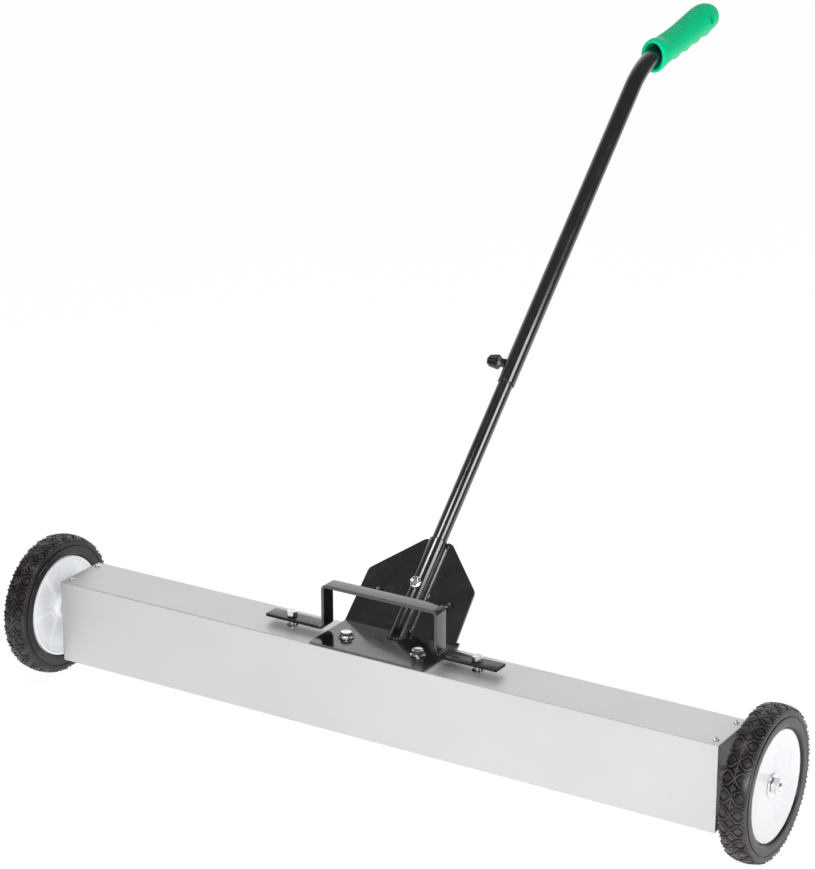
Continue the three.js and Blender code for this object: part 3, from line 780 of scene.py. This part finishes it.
def add_bead(bm, points, radius, step):
    """A weld bead along a line of points: a rod whose radius ripples."""
    round_angles = [TAU * k / 10 for k in range(10)]
    rows = []
    travelled = 0.0
    for i, point in enumerate(points):
        before = points[max(i - 1, 0)]
        after = points[min(i + 1, len(points) - 1)]
        if i:
            travelled += (point - before).length
        heading = (after - before).normalized()
        side = heading.orthogonal().normalized()
        other = heading.cross(side)
        ripple = 0.86 + 0.14 * math.cos(TAU * travelled / step)
        taper = 0.35 if i in (0, len(points) - 1) else 1
        size = radius * ripple * taper
        rows.append([point + (side * math.cos(a) + other * math.sin(a)) * size for a in round_angles])
    skin(bm, rows, Matrix.Identity(4))


def make_bracket():
    plate = refined("bracket_plate", "handle_bracket", 0.45)
    finish_piece(plate, "black_paint", "chassis", "handle_bracket", sharp=50, flat_faces=True)
    bm = bmesh.new()
    proud = 2.4                                      # tube axis in front of the upright's face
    leg = 3.6                                        # of the welds along the socket
    steps = 164
    for side in (-1, 1):
        rows = []
        for i in range(steps + 1):
            along = 5 + 118 * i / steps
            size = leg * min(1, 0.25 + i / 5, 0.25 + (steps - i) / 5)
            inside = math.sqrt(SOCKET_OUTER ** 2 - (proud - size) ** 2) - 0.3
            section = [
                (inside, proud - size), (inside + 0.45, proud - size + 0.05),
                (inside + 0.5 * size + 0.55, proud - 0.5 * size - 0.35), (inside + size + 0.3, proud - 0.35),
                (inside + size + 0.4, proud + 0.2), (inside, proud + 0.2),
            ]
            rows.append([Vector((side * x, y, along)) for x, y in section])
        skin(bm, rows, TUBE)
    foot = []
    reach = SOCKET_OUTER + 0.6
    for i in range(75):
        angle = math.radians(196 + 148 * i / 74)
        y = math.sin(angle) * reach / math.cos(LEAN)
        foot.append(TUBE_FOOT + Vector((math.cos(angle) * reach, y, 0.5)) * MM)
    add_bead(bm, foot, 1.9 * MM, 3.6 * MM)
    beads = as_object("socket_welds", bm)
    finish_piece(beads, "black_paint", "chassis", sharp=60)


# ---- tubes, clamp and grip ---------------------------------------------------------


def tube_stations(outer, inner, low, high):
    lip = min(0.5, (outer - inner) * 0.4)
    hold = 2.5 * lip                                 # to a ring that keeps the wall's shading straight
    return [
        (inner, low + hold), (inner, low + lip), (inner + lip * 0.4, low), (outer - lip * 0.6, low),
        (outer, low + lip), (outer, low + hold), (outer, high - hold), (outer, high - lip),
        (outer - lip * 0.6, high), (inner + lip * 0.4, high), (inner, high - lip), (inner, high - hold),
    ]


TUBE_FACETS = 64
LOWER_OUTER, LOWER_INNER, LOWER_START, LOWER_END = 9.5, 8.1, 22, 505
SOCKET_BOLT_AT = 65


def make_straight_tubes():
    stations = tube_stations(SOCKET_OUTER, SOCKET_INNER, 0, SOCKET_LENGTH)
    socket = spun("socket_pipe", stations, TUBE, TUBE_FACETS, ring=True)
    flatten_foot(socket)
    finish_piece(socket, "black_paint", "chassis", "socket_tube")
    stations = tube_stations(LOWER_OUTER, LOWER_INNER, LOWER_START, LOWER_END)
    lower = spun("lower_pipe", stations, TUBE, TUBE_FACETS, ring=True)
    finish_piece(lower, "black_paint", "chassis", "lower_tube")
    out = SOCKET_OUTER + GAP
    front, rear = (
        TUBE @ Matrix.Translation((0, -side * out, SOCKET_BOLT_AT)) @ Matrix.Rotation(side * TAU / 4, 4, "X")
        for side in (1, -1)
    )
    stations = bolt_stations(10, head=6, shank=3, length=31, flange=7.2)
    steel_piece("socket_bolt_body", stations, front, "chassis", "socket_bolt")
    stations = nut_stations(10, height=5, hole=3.3)
    steel_piece("socket_nut_body", stations, rear, "chassis", "socket_nut", ring=True)


def flatten_foot(piece):
    """Slides the socket's lowest rings along the tube until they stand on the base plate."""
    inverse = TUBE.inverted()
    slope = math.tan(LEAN)
    for vertex in piece.data.vertices:
        local = inverse @ vertex.co
        if local.z < 60:
            local.z += local.y * slope + 0.4
            vertex.co = TUBE @ local


UPPER_OUTER, UPPER_INNER, UPPER_START = 11.1, 10.0, 352
BEND_START, BEND_RADIUS = 806, 115
TUBE_END = 119                                       # past the bend
GRIP_PITCH = math.radians(10.5)                      # above level
BEND = math.pi / 2 - LEAN - GRIP_PITCH


def handle_curve():
    """Origins and directions along the upper tube, in the tube's own frame."""
    starts = [UPPER_START + d for d in (0, 0.4, 1.5, 3)]
    places = [(Vector((0, 0, z)), 0.0) for z in (*starts, 480, 600, 720, BEND_START - 1)]
    steps = 20
    for i in range(steps + 1):
        turn = BEND * i / steps
        y = BEND_RADIUS * (1 - math.cos(turn))
        places.append((Vector((0, y, BEND_START + BEND_RADIUS * math.sin(turn))), turn))
    corner = places[-1][0]
    ahead = Vector((0, math.sin(BEND), math.cos(BEND)))
    places += [(corner + ahead * d, BEND) for d in (2, 60, TUBE_END - 0.5, TUBE_END)]
    return places


def make_upper_tube():
    places = handle_curve()
    angles = [TAU * i / TUBE_FACETS for i in range(TUBE_FACETS)]

    def row(spot, radius):
        origin, turn = spot
        side = Vector((0, math.cos(turn), -math.sin(turn)))
        return [origin + (X * math.cos(a) + side * math.sin(a)) * radius for a in angles]

    outer, inner = UPPER_OUTER, UPPER_INNER
    rows = [row(places[0], outer - 0.4), row(places[1], outer - 0.08)]
    rows += [row(spot, outer) for spot in places[2:-1]]
    rows += [row(places[-1], outer - 0.3), row(places[-1], inner)]
    rows += [row(spot, inner) for spot in reversed(places[1:-1])]
    rows.append(row(places[0], inner + 0.2))
    bm = bmesh.new()
    skin(bm, rows, TUBE, ring=True)
    tube = as_object("upper_pipe", bm)
    finish_piece(tube, "black_paint", "upper_handle", "upper_tube")


def fluted(radius, depth, flutes=6):
    """The radius of a fluted knob at an angle."""
    def at(angle):
        trough = 0.5 - 0.5 * math.cos(flutes * angle)
        return radius - depth * (1 - trough ** 0.55)
    return at


def make_clamp():
    across = TUBE @ Matrix.Translation((0, 0, CLAMP_AT)) @ Matrix.Rotation(-TAU / 4, 4, "Y")
    seat = across @ Matrix.Translation((0, 0, UPPER_OUTER + GAP))
    boss = spun("clamp_nut", nut_stations(11, height=6, hole=3.2), seat, HEX_FACETS, ring=True)
    finish_piece(boss, "black_paint", "upper_handle", "clamp_boss")
    stud = [(1.8, 9.8), (2.6, 10.4), *thread(2.9, 10.6, 30.0, 1.0), (0.3, 30.35)]
    steel_piece("clamp_screw_thread", stud, across, "clamp_screw", "clamp_stud", 48)
    face, length, radius = 21.4, 15.0, 9.6
    body = [(3.3, face + 9.3), (3.3, face + 0.3), (3.9, face), (8.2, face), (fluted(9.0, 0.9), face + 0.15)]
    body += [(fluted(radius, 1.6), face + 1.2)]
    body += [(fluted(radius - 1.9 * t, 1.7), face + 1.2 + 10.6 * t) for t in (0.2, 0.4, 0.6, 0.8, 1.0)]
    body += [(fluted(7.3, 1.5), face + 13.1), (fluted(6.5, 1.0), face + 14.2)]
    body += [(5.2, face + 14.8), (3.4, face + length), (0.3, face + length)]
    knob = spun("clamp_knob_body", body, across, 144)
    finish_piece(knob, "black_plastic", "clamp_screw", "clamp_knob", sharp=45)


GRIP_START, GRIP_LENGTH = 31.5, 183.5
GRIP_BORE, BORE_DEPTH = 11.5, 130
HANG_HOLE_RADIUS, HANG_HOLE_FROM_TIP, HANG_HOLE_ABOVE = 7.0, 42, 4.7
RING_PITCH, RING_DEPTH = 7.0, 0.9
FINGER_PITCH, FINGER_FIRST, FINGER_DEPTH = 30, 49, 2.7
MOUTH_TILT = math.tan(math.radians(6))
MOUTH_HALF_WIDTH, MOUTH_HALF_HEIGHT = 17.6, 22.4
MOUTH_REACH = 20                                     # radius at which the tilt is measured


def read_profile(profile, height):
    """The value of a line through (height, value) points."""
    for (low, v0), (high, v1) in zip(profile, profile[1:]):
        if height <= high:
            t = min(max((height - low) / (high - low), 0), 1)
            return v0 + (v1 - v0) * t
    return profile[-1][1]


def averaged_profile(profile, height):
    reach = 3.5 if 20 < height < 152 else 0.6
    return sum(read_profile(profile, height + reach * k / 2) for k in (-2, -1, 0, 1, 2)) / 5


def mouth_radius(angle, inset=0):
    """The mouth is an oval, taller than wide."""
    wide, tall = MOUTH_HALF_WIDTH - inset, MOUTH_HALF_HEIGHT - inset
    return wide * tall / math.hypot(tall * math.cos(angle), wide * math.sin(angle))


def slanted(height):
    """The mouth's plane leans, so its lip reaches further out underneath."""
    share = 1 - smooth_step(height, 6, 20)
    return lambda angle: height - share * MOUTH_TILT * MOUTH_REACH * math.sin(angle)


def grip_surface(height, above, below):
    """The grip's radius as a function of the angle, from its radii on top and underneath."""
    envelope = smooth_step(height, 24, 30) * (1 - smooth_step(height, 166, 174))
    ring = 0.5 + 0.5 * math.cos(TAU * height / RING_PITCH)
    bump = (0.5 + 0.5 * math.cos(TAU * (height - FINGER_FIRST) / FINGER_PITCH)) ** 1.5
    bumps = smooth_step(height, 22, 32) * (1 - smooth_step(height, 148, 160))
    lens = 0.34 * math.sin(math.pi * min(max((height - 12) / 150, 0), 1))
    flare = 1 - smooth_step(height, 7, 26)
    flattening = 0.6 * smooth_step(height, 136, 143) * (1 - smooth_step(height, 154, 160))

    def radius(angle):
        down = math.sin(angle)                       # 1 underneath, -1 on top
        base = above + (below - above) * (down + 1) / 2
        ringed = 1 - smooth_step(down, -0.62 - lens, -0.42 - lens)
        groove = envelope * RING_DEPTH * ringed * (1 - ring)
        finger = bumps * smooth_step(down, 0.62, 0.92) * (FINGER_DEPTH * bump - 0.6)
        body = base - groove + finger - flattening * abs(math.cos(angle)) ** 6
        return body + (mouth_radius(angle) - body) * flare
    return radius


def make_grip():
    corner = Vector((0, 0, BEND_START + BEND_RADIUS * math.tan(BEND / 2)))
    start = Matrix.Translation((0, 0, GRIP_START))
    place = TUBE @ Matrix.Translation(corner) @ Matrix.Rotation(-BEND, 4, "X") @ start
    cap = [(163, 18.0), (168, 16.0), (172.5, 13.5), (176.5, 10.8), (179.5, 8.0), (181.7, 4.9), (182.9, 2.2)]
    heights = (13, 22, 55, 82, 112, 138, 149, 157)
    top = list(zip(heights, (19.0, 18.3, 17.3, 17.4, 19.2, 20.7, 20.7, 19.8)))
    under = list(zip(heights, (19.2, 19.0, 19.1, 19.2, 19.0, 19.2, 18.9, 18.6)))
    lip = [
        (8.2, 18), (7.4, 14), (6.3, 9), (5.6, 5), (5.1, 2.4), (4.4, 0.9), (3.4, 0.2), (2.2, 0.05), (1.0, 0.3),
        (0.25, 1.2), (0, 2.8), (0, 4.6), (0.15, 6.0),
    ]
    stations = [(0.3, BORE_DEPTH), (GRIP_BORE, BORE_DEPTH - 0.3), (GRIP_BORE, 60), (GRIP_BORE, 26)]
    for inset, height in lip:
        stations.append(((lambda a, i=inset: max(mouth_radius(a, i), GRIP_BORE)), slanted(height)))
    first, last = 6.6, cap[-1][0]
    count = int((last - first) / 0.6)
    for i in range(count + 1):
        height = first + (last - first) * i / count
        above, below = averaged_profile(top + cap, height), averaged_profile(under + cap, height)
        stations.append((grip_surface(height, above, below), slanted(height)))
    grip = spun("grip_sleeve", stations, place, 144)
    hole = Matrix.Translation((0, -HANG_HOLE_ABOVE, GRIP_LENGTH - HANG_HOLE_FROM_TIP))
    drill(grip, HANG_HOLE_RADIUS, place @ hole @ Matrix.Rotation(TAU / 4, 4, "Y"), -30, 30)
    finish_piece(grip, "green_grip", "upper_handle", "grip", sharp=50)


# ---- lifting handle ----------------------------------------------------------------


def make_lift_handle():
    """A flat bar swept along its bends, its two ends rounded over."""
    low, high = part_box("lift_handle")
    thick, bend, edge = 4.0, 5.0, 0.8
    centre_y = (low.y + high.y) / 2
    width = (high.y - low.y) / MM
    reach = high.x / MM
    leg = 81 - thick / 2
    foot = low.z / MM + thick / 2
    top = high.z / MM - thick / 2
    corners = [(-reach, foot), (-leg, foot), (-leg, top), (leg, top), (leg, foot), (reach, foot)]
    path = softened_arc(corners, bend)
    w, t = width / 2, thick / 2
    section = softened([(-w, -t), (w, -t), (w, t), (-w, t)], edge, 3)
    rounding = ((0.0, 0.8), (0.25, 0.93), (edge, 1.0))      # way in from the end, and scale there
    spots = [(path[0], inset, scale) for inset, scale in rounding]
    spots += [(spot, 0.0, 1.0) for spot in path[1:-1]]
    spots += [(path[-1], -inset, scale) for inset, scale in reversed(rounding)]
    rows = []
    for (point, heading), shift, scale in spots:
        normal = Vector((-heading.y, heading.x))
        spot = point + heading * shift
        narrow = 1 - (1 - scale) * 2 * edge / width
        row = []
        for across, out in section:
            place = spot + normal * out * scale
            row.append(Vector((place.x * MM, centre_y + across * narrow * MM, place.y * MM)))
        rows.append(row)
    bm = bmesh.new()
    skin(bm, rows, Matrix.Identity(4))
    bar = as_object("lift_bar", bm)
    for side in ("left", "right"):
        drill(bar, 4.5, upright(middle_of(f"lift_bolt_{side}", foot * MM)), -6, 6)
    finish_piece(bar, "black_paint", "magnet_lift", "lift_handle")


def softened_arc(corners, radius, steps=8):
    """Points and headings along a polyline with round bends."""
    points = [Vector(corner) for corner in corners]
    heading = [(b - a).normalized() for a, b in zip(points, points[1:])]
    path = [(points[0], heading[0])]
    for i in range(1, len(points) - 1):
        before, after = heading[i - 1], heading[i]
        turn = math.atan2(before.x * after.y - before.y * after.x, before.dot(after))
        tangent = radius * math.tan(abs(turn) / 2)
        inward = Vector((-before.y, before.x)) * math.copysign(radius, turn)
        centre = points[i] - before * tangent + inward
        for k in range(steps + 1):
            spin = Matrix.Rotation(turn * k / steps, 2)
            path.append((centre - spin @ inward, spin @ before))
    path.append((points[-1], heading[-1]))
    return path


make_housing()
make_end_pieces()
make_bracket()
make_bracket_bolts()
for wheel_side, wheel_name in ((-1, "left"), (1, "right")):
    make_tyre(wheel_side, wheel_name)
    make_hub(wheel_side, wheel_name)
    make_axle_pieces(wheel_side, wheel_name)
make_straight_tubes()
make_upper_tube()
make_clamp()
make_grip()
make_lift_handle()
make_lift_bolts()


# ---- studio ------------------------------------------------------------------------


def make_floor():
    """Seen by the camera it is all but white. In reflections it is a pale floor under the lights."""
    bm = bmesh.new()
    bmesh.ops.create_grid(bm, x_segments=2, y_segments=2, size=9)
    floor = as_object("floor", bm)
    look = Look("pale_floor", Roughness=0.85)
    look.colours(look.noise(2, 2), (0.90, 0.90, 0.90), (0.92, 0.92, 0.92))
    look.shader.inputs["Emission Color"].default_value = (1, 1, 1, 1)
    look.shader.inputs["Emission Strength"].default_value = 0.55
    bright = look.tree.nodes.new("ShaderNodeEmission")
    path = look.tree.nodes.new("ShaderNodeLightPath")
    share = look.spread(path.outputs["Is Camera Ray"], 0, 1, 0, 0.88)
    mix = look.tree.nodes.new("ShaderNodeMixShader")
    look.link(share, mix.inputs["Fac"])
    look.link(look.shader.outputs["BSDF"], mix.inputs[1])
    look.link(bright.outputs["Emission"], mix.inputs[2])
    look.link(mix.outputs["Shader"], look.tree.nodes["Material Output"].inputs["Surface"])
    floor.data.materials.append(look.material)


def make_world():
    """White behind the object. Light and reflections see a dim room with a bright wall at the back left."""
    world = bpy.data.worlds.new("studio")
    bpy.context.scene.world = world
    world.use_nodes = True
    tree = world.node_tree
    tree.nodes.clear()
    output = tree.nodes.new("ShaderNodeOutputWorld")
    mix = tree.nodes.new("ShaderNodeMixShader")
    path = tree.nodes.new("ShaderNodeLightPath")
    white = tree.nodes.new("ShaderNodeBackground")
    white.inputs["Color"].default_value = (1, 1, 1, 1)
    room = tree.nodes.new("ShaderNodeBackground")
    place = tree.nodes.new("ShaderNodeTexCoord")
    toward = tree.nodes.new("ShaderNodeVectorMath")
    toward.operation = "DOT_PRODUCT"
    toward.inputs[1].default_value = Vector((-0.52, 0.83, 0.20)).normalized()
    ramp = tree.nodes.new("ShaderNodeValToRGB")
    ramp.color_ramp.elements[0].position = 0.45
    ramp.color_ramp.elements[0].color = (0.19, 0.19, 0.195, 1)
    ramp.color_ramp.elements[1].position = 0.92
    ramp.color_ramp.elements[1].color = (1.15, 1.15, 1.15, 1)
    tree.links.new(place.outputs["Generated"], toward.inputs[0])
    tree.links.new(toward.outputs["Value"], ramp.inputs["Fac"])
    tree.links.new(ramp.outputs["Color"], room.inputs["Color"])
    tree.links.new(path.outputs["Is Camera Ray"], mix.inputs["Fac"])
    tree.links.new(room.outputs["Background"], mix.inputs[1])
    tree.links.new(white.outputs["Background"], mix.inputs[2])
    tree.links.new(mix.outputs["Shader"], output.inputs["Surface"])


def add_softbox(name, seen_from, direction, distance, along, width, length, watts):
    """A rectangular light that faces a point. Its length lies as nearly as it can along a direction."""
    light = bpy.data.lights.new(name, "AREA")
    light.shape = "RECTANGLE"
    light.size = width
    light.size_y = length
    light.energy = watts
    lamp = bpy.data.objects.new(name, light)
    back = Vector(direction).normalized()
    up = (Vector(along) - back * Vector(along).dot(back)).normalized()
    turn = Matrix((up.cross(back), up, back)).transposed().to_4x4()
    lamp.matrix_world = Matrix.Translation(Vector(seen_from) + back * distance) @ turn
    bpy.context.scene.collection.objects.link(lamp)


def make_lights():
    """The window on the right draws the streak along the tubes, and the lamp a second one on the socket."""
    window_spot = TUBE @ Vector((0, 0, 270))
    add_softbox("window", window_spot, (0.845, -0.026, 0.526), 2.8, TUBE_AXIS, 1.5, 0.66, 20)
    lamp_spot = TUBE @ Vector((0, 0, 72))
    add_softbox("lamp", lamp_spot, (-0.14, -0.39, 0.90), 1.6, TUBE_AXIS, 0.6, 0.17, 3.6)
    add_softbox("front", (0, 0, 0.2), (0.46, -0.84, 0.29), 3.0, Z, 1.0, 1.0, 28)


CAMERA_AZIMUTH, CAMERA_ELEVATION, CAMERA_ROLL = (math.radians(angle) for angle in (31.89, 18.90, -0.148))
CAMERA_DISTANCE = 3.1048                             # in metres
CAMERA_LENS = 111.95
CAMERA_TARGET = row_frame(34.7, 0, 90.5 + 323.8)


def make_camera():
    flat = math.cos(CAMERA_ELEVATION)
    back = Vector((
        math.sin(CAMERA_AZIMUTH) * flat, -math.cos(CAMERA_AZIMUTH) * flat, math.sin(CAMERA_ELEVATION),
    ))
    level = Vector((math.cos(CAMERA_AZIMUTH), math.sin(CAMERA_AZIMUTH), 0))
    raised = back.cross(level)
    right = level * math.cos(CAMERA_ROLL) + raised * math.sin(CAMERA_ROLL)
    up = raised * math.cos(CAMERA_ROLL) - level * math.sin(CAMERA_ROLL)
    turn = Matrix((right, up, back)).transposed().to_4x4()
    camera = bpy.data.objects.new("camera", bpy.data.cameras.new("camera"))
    camera.matrix_world = Matrix.Translation(CAMERA_TARGET + back * CAMERA_DISTANCE) @ turn
    camera.data.sensor_width = 36
    camera.data.lens = CAMERA_LENS
    camera.data.clip_end = 40
    bpy.context.scene.collection.objects.link(camera)
    bpy.context.scene.camera = camera


make_floor()
make_world()
make_lights()
make_camera()
bpy.context.scene.view_settings.view_transform = "Standard"
